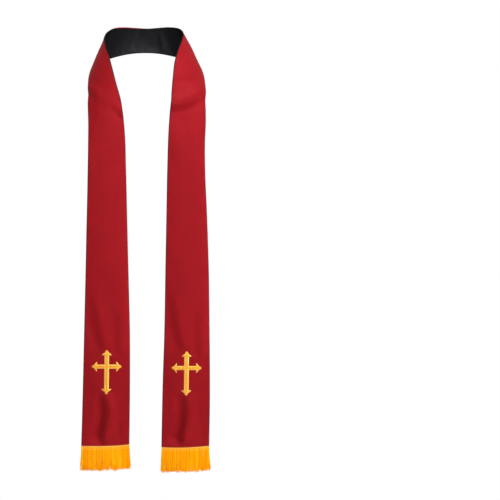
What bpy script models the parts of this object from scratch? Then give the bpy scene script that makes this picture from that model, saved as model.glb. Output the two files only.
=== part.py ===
"""Reversible clerical stole: red face and black face, gold crosses near the hems, gold fringe.

It hangs open as it does round a neck. The origin is the middle of the neck opening, level with the
upper edge of the band at the centre-back seam. +Z is up, the red strips hang in front at -Y.
"""

from collections import namedtuple

import bmesh
import bpy
import numpy as np

MM = 0.001

# Cloth
CLOTH_WALL = 1.1 * MM
LAYER_GAP = 0.3 * MM
SEAM_GAP = 0.3 * MM
HEM_DIP = 2.5 * MM
HEM_DIP_REACH = 90.0 * MM
FOLDS_FADE_IN = 40.0 * MM
COLUMNS_ACROSS = 13

# Crosses
CROSS_BAR = 14.0 * MM
CROSS_BEAM = 12.0 * MM
CROSS_UP = 47.0 * MM
CROSS_FOOT = 78.0 * MM
CROSS_SIDE = 42.0 * MM
CROSS_HEIGHT = 1.2 * MM
CROSS_GAP = 0.5 * MM
CROSS_STEP = 9.0 * MM
CROSS_HEAD = 13.5 * MM

# Each arm ends in a pointed head with two barbs that curl back. The rows go round one side of it from
# the bar, in millimetres: spine and back are distances back from the tip, side is off the arm's middle.
HeadPoint = namedtuple("HeadPoint", "spine back side")
HEAD_POINTS = (
    HeadPoint(11.6, 13.9, 9.0),
    HeadPoint(9.2, 15.0, 12.4),
    HeadPoint(8.6, 14.4, 13.6),
    HeadPoint(8.2, 10.8, 9.8),
    HeadPoint(7.4, 8.2, 6.2),
    HeadPoint(6.2, 6.6, 4.1),
    HeadPoint(4.6, 4.6, 3.8),
    HeadPoint(2.0, 2.0, 2.8),
)

# Fringe
FRINGE_LENGTH = 71.0 * MM
FRINGE_HEADING = 11.0 * MM
FRINGE_THICK = 2.0 * MM
FRINGE_STRANDS = 60
FRINGE_SPLAY = 2.0 * MM
STRAND_SHARE = 0.66
STRAND_DEPTH = 1.5 * MM
STRAND_UNEVEN = 6.0 * MM
STRAND_SWAY = 1.6 * MM
STRAND_SET_BACK = 1.0 * MM
SWAY_WAVES = 1.4

# A strand's rings below the heading: how far down it each one is, and its width there.
StrandRing = namedtuple("StrandRing", "share width")
STRAND_RINGS = (StrandRing(0.45, 1.0), StrandRing(1.0, 0.55))

RED = (0.36, 0.013, 0.020, 1.0)
BLACK = (0.012, 0.011, 0.013, 1.0)
GOLD = (0.95, 0.36, 0.012, 1.0)
CREAM_GOLD = (0.93, 0.55, 0.10, 1.0)

# A rib crosses the cloth from its neck edge to its outer edge. All columns are in millimetres:
# out is the distance from the middle, back is +Y, down is -Z, bow is how far the rib swells outwards.
Rib = namedtuple("Rib", "neck_out neck_back neck_down outer_out outer_back outer_down bow")

RIGHT_RIBS = (
    Rib(0, 72, 0, 0, 82, 70, 2),
    Rib(32, 70, -2, 39, 80, 73, 2),
    Rib(62, 62, -3.5, 75, 72, 80.5, 3),
    Rib(86, 48, -0.5, 104, 60, 88, 3.5),
    Rib(99, 30, 6, 127, 44, 96, 3.5),
    Rib(104.5, 8, 18, 146, 25, 107, 4),
    Rib(101, -18, 38, 158.5, 2, 123, 4.5),
    Rib(91.5, -42, 66, 166.5, -24, 148, 5),
    Rib(82, -62, 103, 169, -48, 182, 5.5),
    Rib(77, -78, 152, 170.5, -68, 222, 5.5),
    Rib(72, -90, 215, 171, -84, 274, 5),
    Rib(66, -97, 297, 169, -95, 336, 4.5),
    Rib(62.5, -100, 410, 170, -100, 427, 4),
    Rib(60, -100, 537, 175, -100, 542, 4),
    Rib(57, -100, 706, 180, -100, 706, 4),
    Rib(54, -100, 875, 182, -100, 875, 4),
    Rib(49, -100, 1031, 183, -100, 1031, 4),
    Rib(46, -100, 1192, 181, -100, 1188, 4),
)
LEFT_RIBS = (
    Rib(0, 72, 0, 0, 82, 70, 2),
    Rib(34, 70, -2, 40, 80, 72, 2),
    Rib(67, 61, -3, 78, 71, 79.5, 3),
    Rib(90, 47, 0, 107, 59, 88.5, 3.5),
    Rib(105.5, 30, 9.5, 129, 44, 97, 3),
    Rib(114, 8, 24.5, 146.5, 25, 107, 3.5),
    Rib(113, -18, 48, 157.5, 2, 123, 4),
    Rib(105, -42, 78, 163, -24, 148, 4.5),
    Rib(95, -62, 114, 163.5, -48, 184, 5),
    Rib(83, -78, 159, 163, -68, 222, 5.5),
    Rib(67, -90, 218, 161, -84, 274, 5),
    Rib(57.5, -97, 297, 161, -95, 336, 4.5),
    Rib(53.5, -100, 410, 162, -100, 427, 4),
    Rib(50.5, -100, 537, 164.5, -100, 542, 4),
    Rib(46.5, -100, 706, 168, -100, 706, 4),
    Rib(42.5, -100, 875, 172, -100, 875, 4),
    Rib(42.5, -100, 1031, 175.5, -100, 1031, 4),
    Rib(44, -100, 1184, 180, -100, 1188, 4),
)

# The cloth is divided along its length by zones: a share of the length, and how many steps it has.
Zone = namedtuple("Zone", "share steps")
ZONES = (Zone(0.22, 11), Zone(0.13, 11), Zone(0.34, 6), Zone(0.31, 19))

# A fold is a soft ridge, or a trough where its heights are negative, along a line on the front of a
# strip. Its middle bends sideways by its bend. All columns are in millimetres, out and down as above.
Fold = namedtuple("Fold", "from_out from_down to_out to_down bend width from_height to_height")

RIGHT_FOLDS = (
    Fold(70, 219, 154, 188, 8, 21, 6.8, 7.2),
    Fold(76, 245, 160, 214, 8, 13, -4.2, -5.4),
    Fold(154, 257, 169, 325, 0, 18, 2.4, 1.2),
    Fold(106, 269, 119, 325, 0, 18, -2.4, -1.2),
    Fold(88, 780, 110, 902, 3, 17, 1.8, 2.8),
    Fold(65, 780, 88, 902, 3, 17, -1.8, -2.8),
    Fold(159, 825, 161, 922, 0, 13, 1.3, 1.8),
    Fold(140, 825, 142, 922, 0, 13, -1.3, -1.8),
    Fold(121, 1059, 113, 1163, -8, 16, 4.4, 9.0),
    Fold(96, 1059, 88, 1163, -8, 16, -4.2, -8.8),
)
LEFT_FOLDS = (
    Fold(150, 179, 114, 209, 0, 13, 3.2, 0.6),
    Fold(162, 195, 127, 225, 0, 13, -3.2, -0.6),
    Fold(78, 229, 62, 246, 0, 9, 1.4, 2.2),
    Fold(90, 245, 74, 262, 0, 9, -1.4, -2.2),
    Fold(136, 780, 114, 897, -3, 17, 1.8, 2.8),
    Fold(159, 780, 137, 897, -3, 17, -1.8, -2.8),
    Fold(68, 820, 66, 918, 0, 13, 1.3, 1.8),
    Fold(88, 820, 86, 918, 0, 13, -1.3, -1.8),
    Fold(104, 1055, 111, 1158, 8, 16, 4.4, 9.0),
    Fold(129, 1055, 136, 1158, 8, 16, -4.2, -8.8),
)

# The two halves: which side of the middle each is on, and how far down its crosses are sewn.
Half = namedtuple("Half", "side ribs folds cross_down")
HALVES = {
    "right": Half(1, RIGHT_RIBS, RIGHT_FOLDS, 968.5 * MM),
    "left": Half(-1, LEFT_RIBS, LEFT_FOLDS, 964.5 * MM),
}


def smooth_curve(rows, places, at):
    """Rows of numbers joined by one smooth cubic curve, read at the given places along it."""
    spans = np.diff(places)
    slopes = np.diff(rows, axis=0) / spans[:, None]
    tangents = np.empty_like(rows)
    tangents[0], tangents[-1] = slopes[0], slopes[-1]
    before, after = spans[:-1, None], spans[1:, None]
    tangents[1:-1] = (slopes[:-1] * after + slopes[1:] * before) / (before + after)
    i = np.clip(np.searchsorted(places, at, side="right") - 1, 0, len(spans) - 1)
    t = ((at - places[i]) / spans[i])[:, None]
    span = spans[i][:, None]
    return ((1 + 2 * t) * (1 - t) ** 2 * rows[i] + t * (1 - t) ** 2 * span * tangents[i]
            + t * t * (3 - 2 * t) * rows[i + 1] + t * t * (t - 1) * span * tangents[i + 1])


def rib_rows(half):
    """The half's ribs in metres as neck point, outer point and bow, with how far each lies along it.

    A mirrored rib comes before the first, so that the curve crosses the centre-back seam straight.
    """
    rows = []
    for rib in half.ribs:
        neck = (half.side * rib.neck_out, rib.neck_back, -rib.neck_down)
        outer = (half.side * rib.outer_out, rib.outer_back, -rib.outer_down)
        rows.append((*neck, *outer, rib.bow))
    rows = np.array(rows, float) * MM
    mirrored = rows[1] * (-1, 1, 1, -1, 1, 1, 1)
    rows = np.vstack([mirrored, rows])
    middles = (rows[:, :3] + rows[:, 3:6]) / 2
    steps = np.linalg.norm(np.diff(middles, axis=0), axis=1)
    return rows, np.concatenate([[0], np.cumsum(steps)]) - steps[0]


def fold_lift(half, points):
    """How far the folds lift each point of the front strips."""
    lift = np.zeros(points.shape[:-1])
    flat = np.stack([half.side * points[..., 0], -points[..., 2]], axis=-1)
    in_front = np.clip(-points[..., 1] / FOLDS_FADE_IN, 0, 1)
    for fold in half.folds:
        start = np.array([fold.from_out, fold.from_down]) * MM
        run = np.array([fold.to_out, fold.to_down]) * MM - start
        length = np.linalg.norm(run)
        share = (flat - start) @ run / length ** 2
        on_line = np.clip(share, 0, 1)
        bow = fold.bend * MM * 4 * on_line * (1 - on_line)
        aside = (flat - start) @ np.stack([-run[1], run[0]]) / length - bow
        away = np.hypot(aside, (share - on_line) * length)
        height = fold.from_height + (fold.to_height - fold.from_height) * on_line
        lift += height * MM * np.exp(-(away / (fold.width * MM)) ** 2)
    return lift * in_front


def cloth_points(half, along, across):
    """Points midway between the two faces: along from the back seam (0) to the hem (1), across from
    the neck edge (0) to the outer edge (1)."""
    rows, places = rib_rows(half)
    along, across = np.broadcast_arrays(np.asarray(along, float), np.asarray(across, float))
    at = along.ravel() * places[-1]
    read = smooth_curve(rows, places, at)
    step = 1 * MM
    ahead = smooth_curve(rows, places, at + step) - smooth_curve(rows, places, at - step)
    neck, outer, bow = read[:, :3], read[:, 3:6], read[:, 6]
    onward = ahead[:, :3] + ahead[:, 3:6]
    outwards = half.side * np.cross(onward, outer - neck)
    outwards /= np.linalg.norm(outwards, axis=1)[:, None]
    v = across.ravel()
    points = neck + v[:, None] * (outer - neck)
    swell = bow * 4 * v * (1 - v) + fold_lift(half, points)
    points += swell[:, None] * outwards
    points[:, 0] += half.side * SEAM_GAP / 2
    near_hem = np.clip(1 - (places[-1] - at) / HEM_DIP_REACH, 0, 1)
    points[:, 2] -= HEM_DIP * 4 * v * (1 - v) * near_hem ** 2
    return points.reshape(*along.shape, 3)


def cloth_normals(half, along, across):
    """Unit normals of the cloth, pointing to the red side."""
    step = 0.0008
    onward = cloth_points(half, along + step, across) - cloth_points(half, along - step, across)
    sideways = cloth_points(half, along, across + step) - cloth_points(half, along, across - step)
    normals = half.side * np.cross(onward, sideways)
    return normals / np.linalg.norm(normals, axis=-1)[..., None]


def grid_places():
    """The places along and across the cloth where its walls have their points."""
    along, reached = [0.0], 0.0
    for zone in ZONES:
        along += [reached + zone.share * (i + 1) / zone.steps for i in range(zone.steps)]
        reached += zone.share
    return np.array(along), np.linspace(0, 1, COLUMNS_ACROSS + 1)


def lifted_grid(half, lift):
    """The cloth's grid of points, moved out to the red side by lift, or to the black side if below 0."""
    along, across = np.meshgrid(*grid_places(), indexing="ij")
    return cloth_points(half, along, across) + lift * cloth_normals(half, along, across)


def point_on_grid(grid, along, across):
    """A point between a grid's own points."""
    alongs, acrosses = grid_places()
    i = int(np.clip(np.searchsorted(alongs, along) - 1, 0, len(alongs) - 2))
    j = int(np.clip(np.searchsorted(acrosses, across) - 1, 0, len(acrosses) - 2))
    u = (along - alongs[i]) / (alongs[i + 1] - alongs[i])
    v = (across - acrosses[j]) / (acrosses[j + 1] - acrosses[j])
    near = (1 - v) * grid[i, j] + v * grid[i, j + 1]
    return (1 - u) * near + u * ((1 - v) * grid[i + 1, j] + v * grid[i + 1, j + 1])


def named_material(name, colour, roughness):
    material = bpy.data.materials.new(name)
    material.use_nodes = True
    shader = material.node_tree.nodes["Principled BSDF"]
    shader.inputs["Base Color"].default_value = colour
    shader.inputs["Roughness"].default_value = roughness
    shader.inputs["Metallic"].default_value = 0.0
    return material


def finished_object(name, bm, material, sharp_from=40):
    """Writes the mesh out as one object, shaded smooth with its faces pointing out."""
    bmesh.ops.recalc_face_normals(bm, faces=bm.faces)
    mesh = bpy.data.meshes.new(name)
    bm.to_mesh(mesh)
    bm.free()
    mesh.shade_smooth()
    mesh.set_sharp_from_angle(angle=np.radians(sharp_from))
    mesh.materials.append(material)
    piece = bpy.data.objects.new(name, mesh)
    bpy.context.scene.collection.objects.link(piece)
    return piece


def closed_sheet(bm, upper, lower):
    """A closed wall between two grids of points that have the same rows and columns."""
    rows, columns = upper.shape[:2]
    top = [[bm.verts.new(p) for p in row] for row in upper]
    bottom = [[bm.verts.new(p) for p in row] for row in lower]
    for i in range(rows - 1):
        for j in range(columns - 1):
            bm.faces.new((top[i][j], top[i][j + 1], top[i + 1][j + 1], top[i + 1][j]))
            bm.faces.new((bottom[i][j], bottom[i + 1][j], bottom[i + 1][j + 1], bottom[i][j + 1]))
    rim = [(i, 0) for i in range(rows)] + [(rows - 1, j) for j in range(1, columns)]
    rim += [(i, columns - 1) for i in range(rows - 2, -1, -1)] + [(0, j) for j in range(columns - 2, 0, -1)]
    for (i, j), (k, m) in zip(rim, rim[1:] + rim[:1]):
        bm.faces.new((top[i][j], bottom[i][j], bottom[k][m], top[k][m]))


def cloth_face(name, half, inner_lift, outer_lift, material):
    """One half of one face: a wall that follows the cloth from the back seam to the hem."""
    bm = bmesh.new()
    closed_sheet(bm, lifted_grid(half, outer_lift), lifted_grid(half, inner_lift))
    return finished_object(name, bm, material)


def arm_outline(length, half_width, start):
    """One side of an arm of the cross, from start to its head: spine place, place and side."""
    bar_end = length - CROSS_HEAD
    steps = max(1, round((bar_end - start) / CROSS_STEP))
    rows = [(a, a, half_width) for a in np.linspace(start, bar_end, steps + 1)]
    rows += [(length - p.spine * MM, length - p.back * MM, p.side * MM) for p in HEAD_POINTS]
    return rows


def cross_plan(bm, lay):
    """The faces of the cross seen flat. lay(x, y) gives the vertex at x across and y up from its middle."""
    arms = (((0, 1), CROSS_UP, CROSS_BAR / 2, CROSS_BEAM / 2),
            ((1, 0), CROSS_SIDE, CROSS_BEAM / 2, CROSS_BAR / 2),
            ((0, -1), CROSS_FOOT, CROSS_BAR / 2, CROSS_BEAM / 2),
            ((-1, 0), CROSS_SIDE, CROSS_BEAM / 2, CROSS_BAR / 2))
    for (x, y), length, half_width, start in arms:
        rows = arm_outline(length, half_width, start)
        for side in (-1, 1):
            spine = [lay(x * a, y * a) for a, _, _ in rows] + [lay(x * length, y * length)]
            edge = [lay(x * a - side * y * w, y * a + side * x * w) for _, a, w in rows]
            for i in range(len(rows) - 1):
                quad = (spine[i], edge[i], edge[i + 1], spine[i + 1])
                bm.faces.new(quad if side < 0 else quad[::-1])
            tip = (spine[-2], edge[-1], spine[-1])
            bm.faces.new(tip if side < 0 else tip[::-1])
            corner = (lay(0, 0), lay(x * start, y * start), edge[0])
            bm.faces.new(corner[::-1] if side < 0 else corner)


def embroidered_cross(name, half, facing, material):
    """A cross made from the wall's points, raised from the red face (facing 1) or the black (-1)."""
    length = rib_rows(half)[1][-1]
    lower_strip = np.linspace(0.6, 0.95, 200)
    middle = np.interp(half.cross_down, -cloth_points(half, lower_strip, 0.5)[:, 2], lower_strip)
    width = np.linalg.norm(np.subtract(*cloth_points(half, middle, np.array([0.0, 1.0]))))
    base = LAYER_GAP / 2 + CLOTH_WALL + CROSS_GAP
    under = lifted_grid(half, facing * base)
    over = lifted_grid(half, facing * (base + CROSS_HEIGHT))
    bm = bmesh.new()
    laid = {}

    def lay(x, y):
        plan = (round(x / MM, 3), round(y / MM, 3))
        if plan not in laid:
            place = (middle - y / length, 0.5 + half.side * x / width)
            laid[plan] = (bm.verts.new(point_on_grid(under, *place)), place)
        return laid[plan][0]

    cross_plan(bm, lay)
    places = {tuple(vertex.co): place for vertex, place in laid.values()}
    raised = bmesh.ops.extrude_face_region(bm, geom=list(bm.faces))["geom"]
    for vertex in (item for item in raised if isinstance(item, bmesh.types.BMVert)):
        vertex.co = point_on_grid(over, *places[tuple(vertex.co)])
    return finished_object(name, bm, material)


def fringe_point(half, across, drop, depth):
    """A point of the fringe, below the hem by drop and off its middle by depth."""
    hem = cloth_points(half, 1.0, across)
    facing = cloth_normals(half, 1.0, across)
    facing[..., 2] = 0
    facing /= np.linalg.norm(facing, axis=-1)[..., None]
    point = hem + depth * facing
    point[..., 2] -= LAYER_GAP + drop
    point[..., 0] += half.side * (2 * across - 1) * FRINGE_SPLAY * drop / FRINGE_LENGTH
    return point


def fringe(name, half, material):
    """A heading that follows the hem, with a row of strands fused into its lower edge."""
    bm = bmesh.new()
    edges = np.linspace(0, 1, FRINGE_STRANDS + 1)
    rings = []
    for drop in (0.0, FRINGE_HEADING):
        front = [bm.verts.new(fringe_point(half, v, drop, FRINGE_THICK / 2)) for v in edges]
        back = [bm.verts.new(fringe_point(half, v, drop, -FRINGE_THICK / 2)) for v in edges]
        rings.append((front, back))
    (top_front, top_back), (low_front, low_back) = rings
    for i in range(FRINGE_STRANDS):
        bm.faces.new((top_front[i], low_front[i], low_front[i + 1], top_front[i + 1]))
        bm.faces.new((top_back[i + 1], low_back[i + 1], low_back[i], top_back[i]))
        bm.faces.new((top_back[i], top_front[i], top_front[i + 1], top_back[i + 1]))
    bm.faces.new((top_back[0], low_back[0], low_front[0], top_front[0]))
    bm.faces.new((top_front[-1], low_front[-1], low_back[-1], top_back[-1]))

    chance = np.random.default_rng(7)
    for i in range(FRINGE_STRANDS):
        middle = (edges[i] + edges[i + 1]) / 2
        half_width = STRAND_SHARE * (edges[1] - edges[0]) / 2
        sway = np.sin(2 * np.pi * SWAY_WAVES * middle) * STRAND_SWAY
        length = FRINGE_LENGTH - STRAND_UNEVEN * chance.random()
        set_back = STRAND_SET_BACK * (-1) ** i
        above = (low_front[i], low_front[i + 1], low_back[i + 1], low_back[i])
        for ring in STRAND_RINGS:
            drop = FRINGE_HEADING + (length - FRINGE_HEADING) * ring.share
            below = []
            for side, depth in ((-1, 1), (1, 1), (1, -1), (-1, -1)):
                off = set_back * ring.share + depth * ring.width * STRAND_DEPTH / 2
                point = fringe_point(half, middle + side * ring.width * half_width, drop, off)
                point[0] += sway * ring.share
                below.append(bm.verts.new(point))
            for j in range(4):
                bm.faces.new((above[j], below[j], below[(j + 1) % 4], above[(j + 1) % 4]))
            above = below
        bm.faces.new(above)
    return finished_object(name, bm, material)


def main():
    for piece in list(bpy.data.objects):
        bpy.data.objects.remove(piece)
    near, far = LAYER_GAP / 2, LAYER_GAP / 2 + CLOTH_WALL
    for side, half in HALVES.items():
        cloth_face(f"red_half_{side}", half, near, far, named_material("red_cloth", RED, 0.62))
        cloth_face(f"black_half_{side}", half, -far, -near, named_material("black_cloth", BLACK, 0.6))
        embroidered_cross(f"red_cross_{side}", half, 1, named_material("gold_thread", CREAM_GOLD, 0.4))
        embroidered_cross(f"black_cross_{side}", half, -1, named_material("gold_thread", CREAM_GOLD, 0.4))
        fringe(f"fringe_{side}", half, named_material("gold_fringe", GOLD, 0.55))


main()
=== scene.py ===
"""The looks of the reversible clerical stole: satin faces, embroidered crosses and fringe.

The stole hangs open, as it does round a neck. +Z is up and the strips hang in front, at -Y. Tables
are in millimetres unless a column says otherwise, and everything else is in metres.
"""

from collections import namedtuple
from functools import partial

import bpy
import numpy as np
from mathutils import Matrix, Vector


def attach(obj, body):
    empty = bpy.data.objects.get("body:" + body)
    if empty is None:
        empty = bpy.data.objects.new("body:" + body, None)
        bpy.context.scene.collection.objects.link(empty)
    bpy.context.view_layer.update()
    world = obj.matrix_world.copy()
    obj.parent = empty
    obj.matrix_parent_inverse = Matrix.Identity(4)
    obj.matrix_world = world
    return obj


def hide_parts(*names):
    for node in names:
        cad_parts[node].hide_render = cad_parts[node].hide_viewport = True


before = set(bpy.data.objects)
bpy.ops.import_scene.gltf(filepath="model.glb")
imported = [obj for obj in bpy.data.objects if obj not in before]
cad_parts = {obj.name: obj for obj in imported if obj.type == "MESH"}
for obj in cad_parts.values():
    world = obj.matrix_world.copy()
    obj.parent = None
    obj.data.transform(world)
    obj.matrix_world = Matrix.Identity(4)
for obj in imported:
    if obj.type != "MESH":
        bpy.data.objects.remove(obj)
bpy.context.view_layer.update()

MM = 0.001
BODY = "root"

# Form of the cloth, the same as the solids it dresses
SEAM_GAP = 0.3 * MM
LAYER_GAP = 0.3 * MM
HEM_DIP = 2.5 * MM
HEM_DIP_REACH = 90.0 * MM
NORMAL_STEP = 0.0008
FOLDS_FADE_IN = 40.0 * MM

# A rib crosses the cloth from its neck edge to its outer edge: out is the distance from the middle,
# back is +Y, down is -Z, bow is how far the rib swells outwards.
Rib = namedtuple("Rib", "neck_out neck_back neck_down outer_out outer_back outer_down bow")

RIGHT_RIBS = (
    Rib(0, 72, 0, 0, 82, 70, 2),
    Rib(32, 70, -2, 39, 80, 73, 2),
    Rib(62, 62, -3.5, 75, 72, 80.5, 3),
    Rib(86, 48, -0.5, 104, 60, 88, 3.5),
    Rib(99, 30, 6, 127, 44, 96, 3.5),
    Rib(104.5, 8, 18, 146, 25, 107, 4),
    Rib(101, -18, 38, 158.5, 2, 123, 4.5),
    Rib(91.5, -42, 66, 166.5, -24, 148, 5),
    Rib(82, -62, 103, 169, -48, 182, 5.5),
    Rib(77, -78, 152, 170.5, -68, 222, 5.5),
    Rib(72, -90, 215, 171, -84, 274, 5),
    Rib(66, -97, 297, 169, -95, 336, 4.5),
    Rib(62.5, -100, 410, 170, -100, 427, 4),
    Rib(60, -100, 537, 175, -100, 542, 4),
    Rib(57, -100, 706, 180, -100, 706, 4),
    Rib(54, -100, 875, 182, -100, 875, 4),
    Rib(49, -100, 1031, 183, -100, 1031, 4),
    Rib(46, -100, 1192, 181, -100, 1188, 4),
)
LEFT_RIBS = (
    Rib(0, 72, 0, 0, 82, 70, 2),
    Rib(34, 70, -2, 40, 80, 72, 2),
    Rib(67, 61, -3, 78, 71, 79.5, 3),
    Rib(90, 47, 0, 107, 59, 88.5, 3.5),
    Rib(105.5, 30, 9.5, 129, 44, 97, 3),
    Rib(114, 8, 24.5, 146.5, 25, 107, 3.5),
    Rib(113, -18, 48, 157.5, 2, 123, 4),
    Rib(105, -42, 78, 163, -24, 148, 4.5),
    Rib(95, -62, 114, 163.5, -48, 184, 5),
    Rib(83, -78, 159, 163, -68, 222, 5.5),
    Rib(67, -90, 218, 161, -84, 274, 5),
    Rib(57.5, -97, 297, 161, -95, 336, 4.5),
    Rib(53.5, -100, 410, 162, -100, 427, 4),
    Rib(50.5, -100, 537, 164.5, -100, 542, 4),
    Rib(46.5, -100, 706, 168, -100, 706, 4),
    Rib(42.5, -100, 875, 172, -100, 875, 4),
    Rib(42.5, -100, 1031, 175.5, -100, 1031, 4),
    Rib(44, -100, 1184, 180, -100, 1188, 4),
)

# A fold is a soft ridge, or a trough where its heights are negative, along a line on the front of a
# strip, given by how far out and down its two ends are. Its middle bends sideways by its bend.
Fold = namedtuple("Fold", "from_out from_down to_out to_down bend width from_height to_height")

RIGHT_FOLDS = (
    Fold(70, 219, 154, 188, 8, 21, 6.8, 7.2),
    Fold(76, 245, 160, 214, 8, 13, -4.2, -5.4),
    Fold(154, 257, 169, 325, 0, 18, 2.4, 1.2),
    Fold(106, 269, 119, 325, 0, 18, -2.4, -1.2),
    Fold(88, 780, 110, 902, 3, 17, 1.8, 2.8),
    Fold(65, 780, 88, 902, 3, 17, -1.8, -2.8),
    Fold(159, 825, 161, 922, 0, 13, 1.3, 1.8),
    Fold(140, 825, 142, 922, 0, 13, -1.3, -1.8),
    Fold(121, 1059, 113, 1163, -8, 16, 4.4, 9.0),
    Fold(96, 1059, 88, 1163, -8, 16, -4.2, -8.8),
)
LEFT_FOLDS = (
    Fold(150, 179, 114, 209, 0, 13, 3.2, 0.6),
    Fold(162, 195, 127, 225, 0, 13, -3.2, -0.6),
    Fold(78, 229, 62, 246, 0, 9, 1.4, 2.2),
    Fold(90, 245, 74, 262, 0, 9, -1.4, -2.2),
    Fold(136, 780, 114, 897, -3, 17, 1.8, 2.8),
    Fold(159, 780, 137, 897, -3, 17, -1.8, -2.8),
    Fold(68, 820, 66, 918, 0, 13, 1.3, 1.8),
    Fold(88, 820, 86, 918, 0, 13, -1.3, -1.8),
    Fold(104, 1055, 111, 1158, 8, 16, 4.4, 9.0),
    Fold(129, 1055, 136, 1158, 8, 16, -4.2, -8.8),
)

# Finer creases of the dressed cloth
# A crease is thinner than a fold, fades out at both ends and bends sideways by its bend.
Crease = namedtuple("Crease", "from_out from_down to_out to_down bend width height")

RIGHT_CREASES = (
    Crease(58, 163, 168, 150, 3, 11, -1.3),
    Crease(60, 278, 176, 238, 8, 17, -2.2),
    Crease(78, 352, 96, 470, 3, 12, -0.4),
    Crease(132, 430, 124, 640, 5, 16, -0.4),
    Crease(126, 930, 150, 952, 2, 7, 0.7),
    Crease(72, 1000, 66, 1120, 2, 9, -0.8),
    Crease(86, 1000, 82, 1110, 2, 9, 0.8),
    Crease(158, 1120, 160, 1186, -2, 8, -1.2),
    Crease(172, 1120, 174, 1186, -2, 8, 1.0),
    Crease(138, 1060, 134, 1186, 2, 8, 0.6),
    Crease(110, 1096, 106, 1180, -3, 8, 1.6),
    Crease(99, 1096, 95, 1180, -3, 8, -1.6),
)
LEFT_CREASES = (
    Crease(136, 168, 110, 160, 4, 7, 0.6),
    Crease(136, 186, 130, 268, 0, 11, 1.3),
    Crease(142, 352, 128, 470, 3, 12, -0.4),
    Crease(96, 430, 104, 640, 5, 16, -0.4),
    Crease(100, 922, 78, 946, 2, 7, 0.7),
    Crease(156, 1000, 160, 1116, 2, 9, -0.8),
    Crease(142, 1000, 144, 1108, 2, 9, 0.8),
    Crease(72, 1114, 70, 1180, -2, 8, -1.2),
    Crease(57, 1114, 55, 1180, -2, 8, 1.0),
    Crease(92, 1060, 96, 1180, 2, 8, 0.6),
    Crease(114, 1092, 118, 1176, 3, 8, 1.6),
    Crease(126, 1092, 130, 1176, 3, 8, -1.6),
)

# Creases of the band behind the neck and round its sides. along is the distance from the back seam
# and across is a share of the band's width, from the neck edge.
BAND_WIDTH = 75.0 * MM
CREASE_FADE = 0.8
BandCrease = namedtuple("BandCrease", "from_along from_across to_along to_across width height")

RIGHT_BAND_CREASES = (
    BandCrease(40, 0.06, 44, 0.95, 7, -1.1),
    BandCrease(58, 0.15, 64, 0.95, 9, 0.9),
    BandCrease(80, 0.05, 92, 0.9, 9, -1.0),
    BandCrease(120, 0.3, 165, 0.85, 10, 0.9),
    BandCrease(170, 0.12, 205, 0.8, 11, -0.9),
    BandCrease(-66, 0.93, 66, 0.93, 11, -1.0),
)
LEFT_BAND_CREASES = (
    BandCrease(14, 0.05, 15, 0.75, 5, 0.6),
    BandCrease(26, 0.04, 27, 0.8, 6, -1.2),
    BandCrease(38, 0.1, 42, 0.9, 8, 0.8),
    BandCrease(84, 0.05, 96, 0.75, 10, -0.9),
    BandCrease(118, 0.35, 158, 0.9, 11, 1.0),
    BandCrease(176, 0.1, 212, 0.7, 10, -0.9),
    BandCrease(-66, 0.93, 66, 0.93, 11, -1.0),
    BandCrease(104, 0.0, 236, 0.0, 13, 3.0),
)

# The viewer's right edge of each strip curls back a little: how much, by how far down it is.
Curl = namedtuple("Curl", "down back")
CURLS = (
    Curl(0, 0.0),
    Curl(280, 0.0),
    Curl(370, 4.4),
    Curl(760, 5.4),
    Curl(880, 4.4),
    Curl(960, 0.6),
    Curl(1030, 0.0),
    Curl(1300, 0.0),
)
CURL_REACH = 27.0 * MM

# The seams at both edges lie a little to the red side, so that a line of black shows along them: a
# share of the whole roll at the viewer's left and right edge of a strip, and how much it comes and
# goes. On the band behind the neck it is less.
LEFT_EDGE_ROLL = 0.8
RIGHT_EDGE_ROLL = 0.55
EDGE_ROLL_CHANGE = 0.12
EDGE_ROLL_STARTS = (60.0 * MM, 170.0 * MM)
EDGE_ROLL_ON_BAND = 0.35
NECK_ROLL_WAVE = 41.0 * MM
OUTER_ROLL_WAVE = 33.0 * MM

# Where the seam at the neck edge lies farther to one side: the face that rolls over the edge (1 red,
# -1 black), where it starts, is full, is full to, and ends, along from the back seam.
Roll = namedtuple("Roll", "over start full full_to end")
RIGHT_ROLLS = (
    Roll(-1, 105, 150, 390, 450),
)
LEFT_ROLLS = (
    Roll(1, 12, 32, 96, 122),
    Roll(-1, 128, 150, 290, 330),
)

Half = namedtuple("Half", "side ribs folds creases band_creases rolls curled_edge cross_down")
HALVES = {
    "right": Half(1, RIGHT_RIBS, RIGHT_FOLDS, RIGHT_CREASES, RIGHT_BAND_CREASES, RIGHT_ROLLS,
                  "outer", 968.5 * MM),
    "left": Half(-1, LEFT_RIBS, LEFT_FOLDS, LEFT_CREASES, LEFT_BAND_CREASES, LEFT_ROLLS,
                 "neck", 964.5 * MM),
}

# Cloth faces
CLOTH_LIFT = 1.05 * MM
CLOTH_INSIDE = 0.55 * MM
COLUMNS_INSIDE = 26
ROW_PITCH = 3.0 * MM

# A turned edge in section, from the seam out round the roll and over the seam allowance inside it:
# inset is from the edge, lift is off the middle of the two faces, and the same for the cloth's back.
Turn = namedtuple("Turn", "inset lift back_inset back_lift")
TURNED_EDGE = (
    Turn(0.50, 0.02, 0.95, 0.02),
    Turn(0.16, 0.14, 0.85, 0.08),
    Turn(0.02, 0.42, 0.75, 0.20),
    Turn(0.10, 0.76, 0.80, 0.36),
    Turn(0.42, 1.03, 0.95, 0.46),
    Turn(1.00, 1.14, 1.20, 0.52),
    Turn(1.90, 1.17, 1.90, 0.55),
    Turn(3.20, 1.18, 3.20, 0.56),
    Turn(4.80, 1.18, 4.80, 0.56),
    Turn(5.90, 1.16, 5.90, 0.56),
    Turn(6.60, 1.11, 6.60, 0.55),
    Turn(7.40, 1.07, 7.40, 0.55),
    Turn(8.60, 1.05, 8.60, 0.55),
)

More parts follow.
